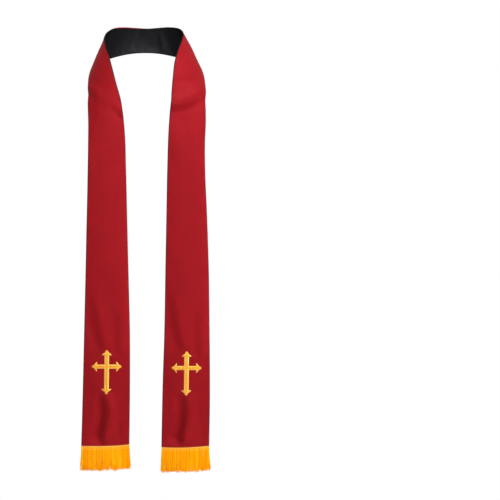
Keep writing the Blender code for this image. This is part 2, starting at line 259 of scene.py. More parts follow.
# The first turns of a face that is rolled over the edge, and of the other face, that stops under it.
ROLLED_OVER = (
    Turn(2.30, -1.02, 2.20, -0.60),
    Turn(1.20, -1.18, 1.35, -0.66),
    Turn(0.35, -0.88, 0.85, -0.46),
    Turn(0.00, -0.20, 0.62, -0.10),
    Turn(0.12, 0.50, 0.72, 0.22),
    Turn(0.70, 1.00, 1.10, 0.44),
    Turn(1.90, 1.17, 1.90, 0.55),
    Turn(3.20, 1.18, 3.20, 0.56),
)
ROLLED_UNDER = (
    Turn(2.78, 0.18, 3.02, 0.14),
    Turn(2.56, 0.40, 2.92, 0.24),
    Turn(2.54, 0.70, 2.92, 0.36),
    Turn(2.62, 0.96, 2.97, 0.45),
    Turn(2.80, 1.10, 3.06, 0.51),
    Turn(3.02, 1.15, 3.16, 0.54),
    Turn(3.35, 1.17, 3.40, 0.55),
    Turn(3.90, 1.18, 3.90, 0.56),
)

# The same at the back seam and the hem, where lift and back_lift are shares of the ones across.
BACK_SEAM = (
    Turn(-0.15, 0.92, -0.15, 0.4),
    Turn(0.02, 1.02, 0.02, 0.6),
    Turn(0.30, 1.11, 0.30, 0.8),
    Turn(0.80, 1.18, 0.80, 1.0),
    Turn(1.60, 1.20, 1.60, 1.0),
    Turn(2.80, 1.16, 2.80, 1.0),
    Turn(4.60, 1.08, 4.60, 1.0),
    Turn(5.60, 1.00, 5.60, 1.0),
)
TURNED_HEM = (
    Turn(0.55, 0.82, 1.00, 1.48),
    Turn(0.12, 0.86, 0.90, 1.50),
    Turn(0.00, 0.98, 0.90, 1.52),
    Turn(0.12, 1.12, 0.95, 1.54),
    Turn(0.55, 1.25, 1.10, 1.56),
    Turn(1.30, 1.29, 1.40, 1.56),
    Turn(2.40, 1.27, 2.40, 1.50),
    Turn(4.00, 1.24, 4.00, 1.30),
    Turn(5.60, 1.20, 5.60, 1.05),
    Turn(7.20, 1.08, 7.20, 1.00),
    Turn(8.80, 1.00, 8.80, 1.00),
)

# Puckers where the cloth is sewn: how long a pucker is, how high, and how far it reaches in.
Pucker = namedtuple("Pucker", "length height reach")
EDGE_PUCKER = Pucker(9.5, 0.16, 8.0)
SEAM_PUCKER = Pucker(7.5, 0.20, 9.0)
HEM_PUCKER = Pucker(10.5, 0.34, 15.0)
PUCKER_DRIFT = 23.0 * MM
PUCKER_COMES_AND_GOES = 37.0 * MM
RELIEF_FADE = 2.0

# Slow ripples of the whole face: how long a ripple is along and across, where it starts, and its height.
Ripple = namedtuple("Ripple", "along across start height")
RIPPLES = (
    Ripple(213, 96, 0.3, 0.16),
    Ripple(131, -74, 1.9, 0.12),
    Ripple(77, 151, 4.1, 0.09),
    Ripple(52, -58, 2.6, 0.05),
)

# Crosses
CROSS_BAR = 12.8 * MM
CROSS_BEAM = 11.2 * MM
CROSS_UP = 47.0 * MM
CROSS_FOOT = 78.0 * MM
CROSS_SIDE = 42.0 * MM
CROSS_HEAD = 13.5 * MM
CROSS_BASE = 0.85 * MM
CROSS_DOME = 1.75 * MM
CROSS_PULL = 0.32 * MM
CROSS_PULL_REACH = 3.2 * MM
PULL_RIPPLES = 26
SECOND_PULL_RIPPLES = 17
PULL_RIPPLE_HEIGHT = 0.10 * MM
PULL_RIPPLE_REACH = 7.0 * MM
FULL_DOME_WIDTH = 5.5 * MM
DOME_STARTS = 0.17
DOME_ROUNDING = 0.75
PADDING_BELOW = 0.25 * MM
PADDING_BACK = 0.15 * MM
PADDING_COLUMNS = 7
ARM_OVERLAP = 0.6 * MM

# Half of an arm's pointed head with its barb, from the bar round to the tip: spine and back are
# distances back from the tip, side is off the arm's middle.
HeadPoint = namedtuple("HeadPoint", "spine back side")
HEAD_POINTS = (
    HeadPoint(11.6, 13.9, 9.0),
    HeadPoint(9.2, 15.0, 12.4),
    HeadPoint(8.6, 14.4, 13.6),
    HeadPoint(8.2, 10.8, 9.8),
    HeadPoint(7.4, 8.2, 6.2),
    HeadPoint(6.2, 6.6, 4.1),
    HeadPoint(4.6, 4.6, 3.8),
    HeadPoint(2.0, 2.0, 2.8),
)
SATIN_PITCH = 0.52 * MM
PADDING_PITCH = 1.0 * MM
SATIN_RADIUS = 0.30 * MM
SATIN_POINTS = 8
SATIN_SLANT = 1.6 * MM
SHORTEST_SATIN = 0.7 * MM
SATIN_UNEVEN = 0.03 * MM
SATIN_SIDES = 5

# Fringe
FRINGE_LENGTH = 71.0 * MM
FRINGE_SPLAY = 2.0 * MM
HEADING_DEPTH = 10.0 * MM
HEADING_HALF = 0.8 * MM
HEADING_EDGE = 1.3 * MM
HEADING_RUNS_UP = 3.2 * MM
HEADING_RUNS_DOWN = HEADING_DEPTH - 0.4 * MM
HEADING_ENDS_THIN = 0.45
HEM_WIDTH = 136.0 * MM
YARN_RADIUS = 0.52 * MM
YARN_POINTS = 15
YARN_SIDES = 5

# How unevenly strands hang: their margin, places and lengths, and the strands of a clump, which draw
# together, lean, fluff out and differ in length from clump to clump. Corner strands flick outwards.
STRAND_MARGIN = 0.6 * MM
STRAND_PLACE_UNEVEN = 0.0016
STRAND_LENGTH_UNEVEN = 2.4 * MM
STRAND_FRONT_UNEVEN = 0.25 * MM
STRAND_WAVE = 0.55 * MM
STRAND_THICKNESS = (0.85, 1.12)
CLUMP_STRANDS = 5
CLUMP_DRAWN = (0.05, 0.4)
CLUMP_LEAN = 0.9 * MM
CLUMP_FLUFF = 0.75 * MM
CLUMP_LENGTH = 1.6 * MM
CORNER_FLICK = 4.5 * MM

# A layer of strands: how many, how far in front of the hem's middle, where it starts, how much shorter.
Layer = namedtuple("Layer", "strands front start shorter")
FRINGE_LAYERS = (
    Layer(150, 1.25, 0.6, 0.0),
    Layer(128, 0.45, 8.0, 1.5),
    Layer(128, -0.45, 8.0, 2.5),
    Layer(150, -1.25, 0.6, 0.5),
)

# Rows of stitches that hold the strands together: how far below the hem, link length, height, thread.
ChainRow = namedtuple("ChainRow", "down link height radius tone")
CHAIN_ROWS = (
    ChainRow(1.3, 2.6, 2.0, 0.46, 1.0),
    ChainRow(5.2, 3.2, 0.6, 0.17, 0.45),
    ChainRow(8.8, 3.2, 0.6, 0.17, 0.45),
)
CHAIN_MARGIN = 1.2 * MM
CHAIN_FRONT = 1.75 * MM
CHAIN_OPEN = 0.92
CHAIN_REACH = 0.66
CHAIN_POINTS = 11
CHAIN_RISE = 0.15

# Rows of sewing across the cloth: at the back seam (end 0) or the hem (end 1), how far in from it, the
# first stitch's place, a stitch and its space, a stitch alone, and the thread's lift and radius.
SewnRow = namedtuple("SewnRow", "end inset first pitch stitch lift radius")
SEAM_ROW = SewnRow(0.0, 1.7, 2.0, 2.9, 2.2, 1.28, 0.26)
HEM_ROW = SewnRow(1.0, 2.9, 2.5, 3.0, 2.3, 1.30, 0.17)
STITCH_MARGIN = 4.0
STITCH_SIDES = 6

# Camera, in line with the photograph
CAMERA_PLACE = (0.2961, -10.0, -0.6356)
CAMERA_SEES = 1.425
CAMERA_DISTANCE = 10.0
SENSOR = 36.0
FLOOR_DOWN = 1.55
FLOOR_RADIUS = 1.25


# Form

def smooth_curve(rows, places, at):
    """Rows of numbers joined by one smooth cubic curve, read at the given places along it."""
    spans = np.diff(places)
    slopes = np.diff(rows, axis=0) / spans[:, None]
    tangents = np.empty_like(rows)
    tangents[0], tangents[-1] = slopes[0], slopes[-1]
    before, after = spans[:-1, None], spans[1:, None]
    tangents[1:-1] = (slopes[:-1] * after + slopes[1:] * before) / (before + after)
    i = np.clip(np.searchsorted(places, at, side="right") - 1, 0, len(spans) - 1)
    t = ((at - places[i]) / spans[i])[:, None]
    span = spans[i][:, None]
    return ((1 + 2 * t) * (1 - t) ** 2 * rows[i] + t * (1 - t) ** 2 * span * tangents[i]
            + t * t * (3 - 2 * t) * rows[i + 1] + t * t * (t - 1) * span * tangents[i + 1])


def rib_rows(half):
    """The half's ribs in metres as neck point, outer point and bow, with how far each lies along it.

    A mirrored rib comes before the first, so that the curve crosses the centre-back seam straight.
    """
    rows = []
    for rib in half.ribs:
        neck = (half.side * rib.neck_out, rib.neck_back, -rib.neck_down)
        outer = (half.side * rib.outer_out, rib.outer_back, -rib.outer_down)
        rows.append((*neck, *outer, rib.bow))
    rows = np.array(rows, float) * MM
    mirrored = rows[1] * (-1, 1, 1, -1, 1, 1, 1)
    rows = np.vstack([mirrored, rows])
    middles = (rows[:, :3] + rows[:, 3:6]) / 2
    steps = np.linalg.norm(np.diff(middles, axis=0), axis=1)
    return rows, np.concatenate([[0], np.cumsum(steps)]) - steps[0]


def cloth_length(half):
    """How long the half is along its middle, from the back seam to the hem."""
    return rib_rows(half)[1][-1]


def cloth_width(half, along):
    """How wide the cloth is at each share of its length."""
    rows, places = rib_rows(half)
    read = smooth_curve(rows, places, np.atleast_1d(along) * places[-1])
    return np.linalg.norm(read[:, 3:6] - read[:, :3], axis=1)


def line_distance(flat, start, end, bend=0.0):
    """How far points of a plane are from a line's middle, sideways, and how far along it (0 to 1)."""
    run = end - start
    length = np.linalg.norm(run)
    share = (flat - start) @ run / length ** 2
    sideways = np.stack([-run[1], run[0]]) / length
    on_line = np.clip(share, 0, 1)
    bow = bend * 4 * on_line * (1 - on_line)
    return (flat - start) @ sideways - bow, share


def crease_lift(flat, start, end, bend, width, height):
    """How far one crease lifts points of a plane. It fades out at both ends."""
    aside, share = line_distance(flat, start, end, bend * MM)
    fade = np.sin(np.pi * np.clip(share, 0, 1)) ** CREASE_FADE
    return height * MM * fade * np.exp(-(aside / (width * MM)) ** 2)


def fold_lift(half, points):
    """How far the folds and creases lift each point of the front strips."""
    lift = np.zeros(points.shape[:-1])
    flat = np.stack([half.side * points[..., 0], -points[..., 2]], axis=-1)
    in_front = np.clip(-points[..., 1] / FOLDS_FADE_IN, 0, 1)
    for fold in half.folds:
        start = np.array([fold.from_out, fold.from_down]) * MM
        end = np.array([fold.to_out, fold.to_down]) * MM
        aside, share = line_distance(flat, start, end, fold.bend * MM)
        on_line = np.clip(share, 0, 1)
        away = np.hypot(aside, (share - on_line) * np.linalg.norm(end - start))
        height = fold.from_height + (fold.to_height - fold.from_height) * on_line
        lift += height * MM * np.exp(-(away / (fold.width * MM)) ** 2)
    for crease in half.creases:
        start = np.array([crease.from_out, crease.from_down]) * MM
        end = np.array([crease.to_out, crease.to_down]) * MM
        lift += crease_lift(flat, start, end, crease.bend, crease.width, crease.height)
    return lift * in_front


def band_lift(half, along, across, width):
    """How far the band's own creases lift each point. All lengths in metres, across from the neck edge."""
    lift = np.zeros(along.shape)
    flat = np.stack([along, across * width], axis=-1)
    for crease in half.band_creases:
        start = np.array([crease.from_along * MM, crease.from_across * BAND_WIDTH])
        end = np.array([crease.to_along * MM, crease.to_across * BAND_WIDTH])
        lift += crease_lift(flat, start, end, 0.0, crease.width, crease.height)
    return lift


def curl_lift(half, down, across, width):
    """How far the curled edge of a strip turns back."""
    from_edge = (across if half.curled_edge == "neck" else 1 - across) * width
    back = np.interp(down, [c.down * MM for c in CURLS], [c.back * MM for c in CURLS])
    return -back * np.clip(1 - from_edge / CURL_REACH, 0, None) ** 2


def cloth_points(half, along, across):
    """Points midway between the two faces: along from the back seam (0) to the hem (1), across from
    the neck edge (0) to the outer edge (1)."""
    rows, places = rib_rows(half)
    along, across = np.broadcast_arrays(np.asarray(along, float), np.asarray(across, float))
    at = along.ravel() * places[-1]
    read = smooth_curve(rows, places, at)
    step = 1 * MM
    ahead = smooth_curve(rows, places, at + step) - smooth_curve(rows, places, at - step)
    neck, outer, bow = read[:, :3], read[:, 3:6], read[:, 6]
    onward = ahead[:, :3] + ahead[:, 3:6]
    outwards = half.side * np.cross(onward, outer - neck)
    outwards /= np.linalg.norm(outwards, axis=1)[:, None]
    width = np.linalg.norm(outer - neck, axis=1)
    v = across.ravel()
    points = neck + v[:, None] * (outer - neck)
    swell = bow * 4 * v * (1 - v) + fold_lift(half, points)
    swell += band_lift(half, at, v, width) + curl_lift(half, -points[:, 2], v, width)
    points += swell[:, None] * outwards
    points[:, 0] += half.side * SEAM_GAP / 2
    near_hem = np.clip(1 - (places[-1] - at) / HEM_DIP_REACH, 0, 1)
    points[:, 2] -= HEM_DIP * 4 * v * (1 - v) * near_hem ** 2
    return points.reshape(*along.shape, 3)


def cloth_normals(half, along, across):
    """Unit normals of the cloth, pointing to the red side."""
    step = NORMAL_STEP
    onward = cloth_points(half, along + step, across) - cloth_points(half, along - step, across)
    sideways = cloth_points(half, along, across + step) - cloth_points(half, along, across - step)
    normals = half.side * np.cross(onward, sideways)
    return normals / np.linalg.norm(normals, axis=-1)[..., None]


def on_cloth(half, along, across, lift):
    """Points lifted off the middle of the cloth, to the red side, or to the black side if below 0."""
    along, across = np.broadcast_arrays(np.asarray(along, float), np.asarray(across, float))
    lifted = np.broadcast_to(np.asarray(lift, float), along.shape)
    return cloth_points(half, along, across) + lifted[..., None] * cloth_normals(half, along, across)


# Cloth faces

def cross_place(half):
    """Where the middle of the half's crosses is: its share of the length, and the cloth's width there."""
    lower_strip = np.linspace(0.6, 0.95, 400)
    down = -cloth_points(half, lower_strip, 0.5)[:, 2]
    middle = np.interp(half.cross_down, down, lower_strip)
    return middle, cloth_width(half, middle)[0]


def cross_distance(x, y):
    """How far points of a cross's plane are outside its bars and heads."""
    def box(cx, cy, half_x, half_y):
        dx, dy = np.abs(x - cx) - half_x, np.abs(y - cy) - half_y
        return np.hypot(np.maximum(dx, 0), np.maximum(dy, 0)) + np.minimum(np.maximum(dx, dy), 0)

    def head(cx, cy):
        return (np.abs(x - cx) + np.abs(y - cy)) / np.sqrt(2) - 0.62 * CROSS_HEAD

    upright = box(0, (CROSS_UP - CROSS_FOOT) / 2, CROSS_BAR / 2, (CROSS_UP + CROSS_FOOT) / 2)
    beam = box(0, 0, CROSS_SIDE, CROSS_BEAM / 2)
    in_from_tip = 0.75 * CROSS_HEAD
    heads = [head(0, CROSS_UP - in_from_tip), head(0, in_from_tip - CROSS_FOOT),
             head(CROSS_SIDE - in_from_tip, 0), head(in_from_tip - CROSS_SIDE, 0)]
    return np.minimum.reduce([upright, beam, *heads])


def embroidery_pull(half, along, across):
    """The cloth is drawn down round the cross, with short creases that run out from it."""
    middle, width = cross_place(half)
    x = half.side * (across - 0.5) * width
    y = (middle - along) * cloth_length(half)
    outside = np.maximum(cross_distance(x, y), 0)
    dip = -CROSS_PULL * np.exp(-(outside / CROSS_PULL_REACH) ** 2)
    turn = np.arctan2(y, x)
    spokes = np.sin(PULL_RIPPLES * turn) * 0.6 + np.sin(SECOND_PULL_RIPPLES * turn + 1.3) * 0.4
    fade = np.exp(-outside / PULL_RIPPLE_REACH) * np.clip(outside / (2 * MM), 0, 1)
    return dip + PULL_RIPPLE_HEIGHT * spokes * fade


def pucker_lift(pucker, run, inset, start):
    """Uneven waves along a sewn edge, highest at the edge."""
    wave = np.sin(2 * np.pi * run / (pucker.length * MM) + 1.1 * np.sin(run / PUCKER_DRIFT + start))
    uneven = 0.65 + 0.35 * np.sin(run / PUCKER_COMES_AND_GOES + 2.3 * start)
    return pucker.height * MM * wave * uneven * np.exp(-(inset / (pucker.reach * MM)) ** 2)


def face_relief(half, facing, along, across, width):
    """What one face has of its own over the cloth's form: ripples, puckers and the pull of the cross."""
    run = along * cloth_length(half)
    from_hem = cloth_length(half) - run
    from_neck, from_outer = across * width, (1 - across) * width
    lift = np.zeros(run.shape)
    for ripple in RIPPLES:
        turns = run / (ripple.along * MM) + from_neck / (ripple.across * MM)
        lift += ripple.height * MM * np.sin(2 * np.pi * turns + ripple.start + facing + 2 * half.side)
    lift += pucker_lift(EDGE_PUCKER, run, from_neck, 0.4 + facing)
    lift += pucker_lift(EDGE_PUCKER, run, from_outer, 2.0 + facing)
    lift += pucker_lift(SEAM_PUCKER, from_neck, run, 1.0 + facing)
    lift += pucker_lift(HEM_PUCKER, from_neck, from_hem, 3.0 + facing + half.side)
    lift += embroidery_pull(half, along, across)
    fade = np.clip((np.minimum(from_neck, from_outer) / MM - 0.6) / RELIEF_FADE, 0, 1)
    return lift * fade * np.clip((from_hem / MM - 0.3) / RELIEF_FADE, 0, 1)


def face_rows(half):
    """The rows of a face: share of the length and lift share, outside and at the cloth's back."""
    length = cloth_length(half)
    first, last = BACK_SEAM[-1].inset * MM, length - TURNED_HEM[-1].inset * MM
    between = np.linspace(first, last, round((last - first) / ROW_PITCH) + 1)[1:-1]
    ones = np.ones(len(between))
    hem = TURNED_HEM[::-1]
    outside = np.concatenate([[t.inset * MM for t in BACK_SEAM], between,
                              [length - t.inset * MM for t in hem]]) / length
    inside = np.concatenate([[t.back_inset * MM for t in BACK_SEAM], between,
                             [length - t.back_inset * MM for t in hem]]) / length
    lift = np.concatenate([[t.lift for t in BACK_SEAM], ones, [t.lift for t in hem]])
    back_lift = np.concatenate([[t.back_lift for t in BACK_SEAM], ones, [t.back_lift for t in hem]])
    return outside, lift, inside, back_lift


def rolled(half, facing, run):
    """How far the neck and outer edges are rolled at each run: towards 1 this face lies over the edge,
    and towards -1 it stops under the other face."""
    past_start = np.clip((run - EDGE_ROLL_STARTS[0]) / np.diff(EDGE_ROLL_STARTS), 0, 1)
    onset = EDGE_ROLL_ON_BAND + (1 - EDGE_ROLL_ON_BAND) * past_start
    full = (LEFT_EDGE_ROLL, RIGHT_EDGE_ROLL)[::half.side]
    neck = -onset * (full[0] + EDGE_ROLL_CHANGE * np.sin(run / NECK_ROLL_WAVE + half.side))
    outer = -onset * (full[1] + EDGE_ROLL_CHANGE * np.sin(run / OUTER_ROLL_WAVE + 2.0 * half.side))
    for roll in half.rolls:
        share = np.interp(run / MM, [roll.start, roll.full, roll.full_to, roll.end], [0, 1, 1, 0])
        neck += share * (roll.over - neck)
    return facing * neck, facing * outer


def face_columns(half, facing, along, back):
    """The columns of a face at each row: share of the width, and lift."""
    def section(turns):
        rows = (*turns, *TURNED_EDGE[len(turns):])
        return np.array([(t.back_inset, t.back_lift) if back else (t.inset, t.lift) for t in rows]) * MM

    width = cloth_width(half, along)[:, None]
    plain, over, under = section(TURNED_EDGE), section(ROLLED_OVER), section(ROLLED_UNDER)
    edges = []
    for roll in rolled(half, facing, along * cloth_length(half)):
        roll = roll[:, None, None]
        edges.append(plain + np.clip(roll, 0, 1) * (over - plain) + np.clip(-roll, 0, 1) * (under - plain))
    neck, outer = edges
    first = plain[-1, 0] / width
    share = np.linspace(0, 1, COLUMNS_INSIDE + 2)[1:-1]
    across = np.concatenate([neck[..., 0] / width, first + (1 - 2 * first) * share,
                             1 - outer[:, ::-1, 0] / width], axis=1)
    flat = np.full((len(along), COLUMNS_INSIDE), CLOTH_INSIDE if back else CLOTH_LIFT)
    return across, np.concatenate([neck[..., 1], flat, outer[:, ::-1, 1]], axis=1), width


def plain_object(name, mesh, material):
    """A mesh with its material, placed in the scene."""
    mesh.materials.append(material)
    piece = bpy.data.objects.new(name, mesh)
    bpy.context.scene.collection.objects.link(piece)
    return piece


def outward_faces(points, faces):
    """The faces of a closed shape, turned so that they point outwards."""
    corners = points[faces]
    middle = corners.mean(axis=1)
    crossed = np.cross(corners[:, 2] - corners[:, 0], corners[:, 3] - corners[:, 1])
    volume = np.einsum("ij,ij->i", middle - points.mean(axis=0), crossed).sum()
    return faces if volume > 0 else faces[:, ::-1]


def closed_sheet(name, outer, inner, material, across=None, along=None):
    """A closed thin shape between two grids of points. across and along, in metres, lay out its weave."""
    rows, columns = outer.shape[:2]
    number = np.arange(rows * columns).reshape(rows, columns)
    top = np.stack([number[:-1, :-1], number[:-1, 1:], number[1:, 1:], number[1:, :-1]], axis=-1)
    top = top.reshape(-1, 4)
    bottom = top[:, ::-1] + rows * columns
    rim = np.concatenate([number[:-1, 0], number[-1, :-1], number[:0:-1, -1], number[0, :0:-1]])
    after = np.roll(rim, -1)
    sides = np.stack([rim, after, after + rows * columns, rim + rows * columns], axis=-1)
    points = np.concatenate([outer.reshape(-1, 3), inner.reshape(-1, 3)])
    faces = outward_faces(points, np.concatenate([top, bottom, sides]))
    mesh = bpy.data.meshes.new(name)
    mesh.from_pydata(points.tolist(), [], faces.tolist())
    mesh.update()
    mesh.shade_smooth()
    if across is not None:
        laid = np.stack([across.ravel(), along.ravel()], axis=-1)
        laid = np.concatenate([laid, laid])
        layer = mesh.uv_layers.new(name="weave")
        corner = np.empty(len(mesh.loops), int)
        mesh.loops.foreach_get("vertex_index", corner)
        layer.data.foreach_set("uv", laid[corner].ravel())
    return plain_object(name, mesh, material)


def cloth_face(name, half, facing, material):
    """One half of the red face (facing 1) or the black one (-1), from the back seam to the hem."""
    length = cloth_length(half)
    alongs, lift_share, back_alongs, back_share = face_rows(half)
    across, lifts, width = face_columns(half, facing, alongs, False)
    along = np.broadcast_to(alongs[:, None], across.shape)
    lift = lifts * lift_share[:, None]
    lift += face_relief(half, facing, along, across, width) * np.clip(lifts / (0.6 * MM), 0, 1)
    outer = on_cloth(half, along, across, facing * lift)
    back_across, back_lifts, _ = face_columns(half, facing, back_alongs, True)
    back_along = np.broadcast_to(back_alongs[:, None], back_across.shape)
    inner = on_cloth(half, back_along, back_across, facing * back_lifts * back_share[:, None])
    return closed_sheet(name, outer, inner, material, across * width, along * length)


def declare_cloth(half):
    """Works out the half's middle points and its greatest width. Nothing further is done with them."""
    shares = np.linspace(0, 1, 200)
    across = np.linspace(0, 1, 20)
    grid = cloth_points(half, shares[:, None], across[None, :])
    width = cloth_width(half, shares).max()


# Threads

def socket(tree, name, kind, direction="INPUT"):
    return tree.interface.new_socket(name=name, in_out=direction, socket_type=kind)


def thread_tree():
    """Turns guide lines into threads: round tubes with closed ends, as thick as each point says."""
    tree = bpy.data.node_groups.new("threads_along_guides", "GeometryNodeTree")
    socket(tree, "Guides", "NodeSocketGeometry")
    socket(tree, "Thread Radius", "NodeSocketFloat")
    socket(tree, "Sides", "NodeSocketInt")
    socket(tree, "Finish", "NodeSocketMaterial")
    socket(tree, "Threads", "NodeSocketGeometry", "OUTPUT")
    given = tree.nodes.new("NodeGroupInput")
    made = tree.nodes.new("NodeGroupOutput")
    lines = tree.nodes.new("GeometryNodeMeshToCurve")
    thickness = tree.nodes.new("GeometryNodeInputNamedAttribute")
    thickness.data_type = "FLOAT"
    thickness.inputs["Name"].default_value = "thickness"
    radius = tree.nodes.new("ShaderNodeMath")
    radius.operation = "MULTIPLY"
    section = tree.nodes.new("GeometryNodeCurvePrimitiveCircle")
    tube = tree.nodes.new("GeometryNodeCurveToMesh")
    tube.inputs["Fill Caps"].default_value = True
    smooth = tree.nodes.new("GeometryNodeSetShadeSmooth")
    real = tree.nodes.new("GeometryNodeRealizeInstances")
    finish = tree.nodes.new("GeometryNodeSetMaterial")
    link = tree.links.new
    link(given.outputs["Guides"], lines.inputs["Mesh"])
    link(thickness.outputs[0], radius.inputs[0])
    link(given.outputs["Thread Radius"], radius.inputs[1])
    section.inputs["Radius"].default_value = 1.0
    link(given.outputs["Sides"], section.inputs["Resolution"])
    link(lines.outputs["Curve"], tube.inputs["Curve"])
    link(section.outputs["Curve"], tube.inputs["Profile Curve"])
    link(radius.outputs[0], tube.inputs["Scale"])
    link(tube.outputs["Mesh"], smooth.inputs["Geometry"])
    link(smooth.outputs["Geometry"], real.inputs["Geometry"])
    link(real.outputs["Geometry"], finish.inputs["Geometry"])
    link(given.outputs["Finish"], finish.inputs["Material"])
    link(finish.outputs["Geometry"], made.inputs["Threads"])
    return tree


def threads(name, tree, guides, radius, sides, material, thickness=None, tone=None):
    """A piece made of threads. guides has one row of points a thread, all of the same number.

    thickness is a share of the radius at each point, and tone is a number from 0 to 1 for each thread.
    """
    guides = np.asarray(guides, float)
    count, steps = guides.shape[:2]
    number = np.arange(count * steps).reshape(count, steps)
    edges = np.stack([number[:, :-1], number[:, 1:]], axis=-1).reshape(-1, 2)
    mesh = bpy.data.meshes.new(name + "_guides")
    mesh.from_pydata(guides.reshape(-1, 3).tolist(), edges.tolist(), [])
    facts = {
        "thickness": np.ones((count, steps)) if thickness is None else thickness,
        "tone": np.zeros((count, steps)) if tone is None else np.repeat(tone, steps),
        "run": np.tile(np.linspace(0, 1, steps), count),
    }
    for fact, values in facts.items():
        layer = mesh.attributes.new(fact, "FLOAT", "POINT")
        layer.data.foreach_set("value", np.broadcast_to(values, (count, steps)).ravel()
                               if np.ndim(values) == 2 else np.ravel(values))
    guide = bpy.data.objects.new(name + "_guides", mesh)
    bpy.context.scene.collection.objects.link(guide)
    maker = guide.modifiers.new("threads", "NODES")
    maker.node_group = tree
    settings = {"Thread Radius": radius, "Sides": sides, "Finish": material}
    for item in tree.interface.items_tree:
        if item.name in settings:
            maker[item.identifier] = settings[item.name]
    view = bpy.context.evaluated_depsgraph_get()
    made = bpy.data.meshes.new_from_object(guide.evaluated_get(view))
    bpy.data.objects.remove(guide)
    made.name = name
    piece = bpy.data.objects.new(name, made)
    bpy.context.scene.collection.objects.link(piece)
    return piece


# Crosses

def arm_sides(length, half_width, start):
    """One side of an arm of the cross, from start to its tip: rows of spine place, edge place, side."""
    rows = [(start, start, half_width), (length - CROSS_HEAD, length - CROSS_HEAD, half_width)]
    rows += [(length - p.spine * MM, length - p.back * MM, p.side * MM) for p in HEAD_POINTS]
    rows.append((length, length, 0.0))
    return np.array(rows)


def arm_rows(length, half_width, start, pitch):
    """The arm's side again, with a row every pitch."""
    rows = arm_sides(length, half_width, start)
    steps = np.hypot(np.diff(rows[:, 1]), np.diff(rows[:, 2]))
    spine_steps = np.abs(np.diff(rows[:, 0]))
    places = np.concatenate([[0], np.cumsum(np.maximum(steps, spine_steps))])
    count = int(np.ceil(places[-1] / pitch))
    at = np.linspace(0, places[-1], count + 1)
    return np.stack([np.interp(at, places, rows[:, k]) for k in range(3)], axis=-1)


# The arms of the cross: direction, length, half its width, and where it starts from the middle.
ARMS = (
    ((0, 1), CROSS_UP, CROSS_BAR / 2, 0.0),
    ((0, -1), CROSS_FOOT, CROSS_BAR / 2, 0.0),
    ((1, 0), CROSS_SIDE, CROSS_BEAM / 2, CROSS_BAR / 2 - ARM_OVERLAP),
    ((-1, 0), CROSS_SIDE, CROSS_BEAM / 2, CROSS_BAR / 2 - ARM_OVERLAP),
)


def dome_height(share, width):
    """The height of the padding over the cloth, from the groove in the middle (0) to the edge (1)."""
    full = CROSS_DOME * np.clip(width / FULL_DOME_WIDTH, 0.35, 1.0)
    return full * np.sin(np.pi * (DOME_STARTS + (1 - DOME_STARTS) * share)) ** DOME_ROUNDING


def cross_grid(half, facing, arm, side, shares, raise_by, pitch, domed=1.0, slant=0.0):
    """A grid of points over one side of an arm, rows along the arm and columns from its groove out,
    and how wide the side is at each row."""
    (x, y), length, half_width, start = arm
    rows = arm_rows(length, half_width, start, pitch)
    spine, back, out = rows[:, :1], rows[:, 1:2], rows[:, 2:]
    place = spine + (back - spine) * shares
    place = np.minimum(place - slant * (1 - shares) * np.clip((length - spine) / CROSS_HEAD, 0, 1) * (
        spine > start + slant), length)
    off = out * shares
    plan_x, plan_y = x * place - side * y * off, y * place + side * x * off
    middle, width = cross_place(half)
    along = middle - plan_y / cloth_length(half)
    across = 0.5 + half.side * plan_x / width
    stretch = np.hypot(back - spine, out)
    lift = CROSS_BASE + raise_by + domed * dome_height(shares, stretch)
    return on_cloth(half, along, across, facing * lift), stretch


def cross_padding(half, facing, material, name):
    """The padded body of the cross, a closed dome for each side of each arm, all in one piece."""
    shares = np.linspace(0, 1, PADDING_COLUMNS)[None, :]
    parts = []
    for number, arm in enumerate(ARMS):
        for side in (-1, 1):
            over, _ = cross_grid(half, facing, arm, side, shares, -PADDING_BELOW, PADDING_PITCH)
            flat, _ = cross_grid(half, facing, arm, side, shares, -PADDING_BACK, PADDING_PITCH, domed=0.0)
            parts.append(closed_sheet(f"{name}_{number}_{side}", over, flat, material))
    return parts


def cross_threads(name, half, facing, tree, material):
    """The satin stitches of the cross, each from its arm's groove over the padding to the edge."""
    shares = np.linspace(0.0, 1.0, SATIN_POINTS)[None, :]
    chance = np.random.default_rng(11 + facing + 2 * half.side)
    lines, widths = [], []
    for arm in ARMS:
        for side in (-1, 1):
            grid, stretch = cross_grid(half, facing, arm, side, shares, 0.0, SATIN_PITCH, slant=SATIN_SLANT)
            keep = stretch[:, 0] > SHORTEST_SATIN
            lines.append(grid[keep])
            widths.append(stretch[keep, 0])
    guides = np.concatenate(lines)
    guides += chance.normal(0, SATIN_UNEVEN, guides.shape)
    count = len(guides)
    thickness = np.ones((count, 1)) * (0.9 + 0.2 * chance.random((count, 1)))
    thickness = thickness * np.array([0.8] + [1.0] * (SATIN_POINTS - 2) + [0.7])[None, :]
    tone = chance.random(count)
    return threads(name, tree, guides, SATIN_RADIUS, SATIN_SIDES, material, thickness, tone)


def joined(name, pieces):
    """Several plain pieces made one."""
    bpy.ops.object.select_all(action="DESELECT")
    for piece in pieces:
        piece.select_set(True)
    bpy.context.view_layer.objects.active = pieces[0]
    bpy.ops.object.join()
    pieces[0].name = name
    pieces[0].data.name = name
    return pieces[0]


# Fringe

def fringe_point(half, across, drop, front):
    """Points of the fringe, below the hem by drop and in front of its middle by front."""
    across, drop, front = np.broadcast_arrays(across, drop, front)
    hem = cloth_points(half, 1.0, across)
    facing = cloth_normals(half, 1.0, across)
    facing[..., 2] = 0
    facing /= np.linalg.norm(facing, axis=-1)[..., None]
    point = hem + front[..., None] * facing
    point[..., 2] -= LAYER_GAP + drop
    point[..., 0] += half.side * (2 * across - 1) * FRINGE_SPLAY * drop / FRINGE_LENGTH
    return point


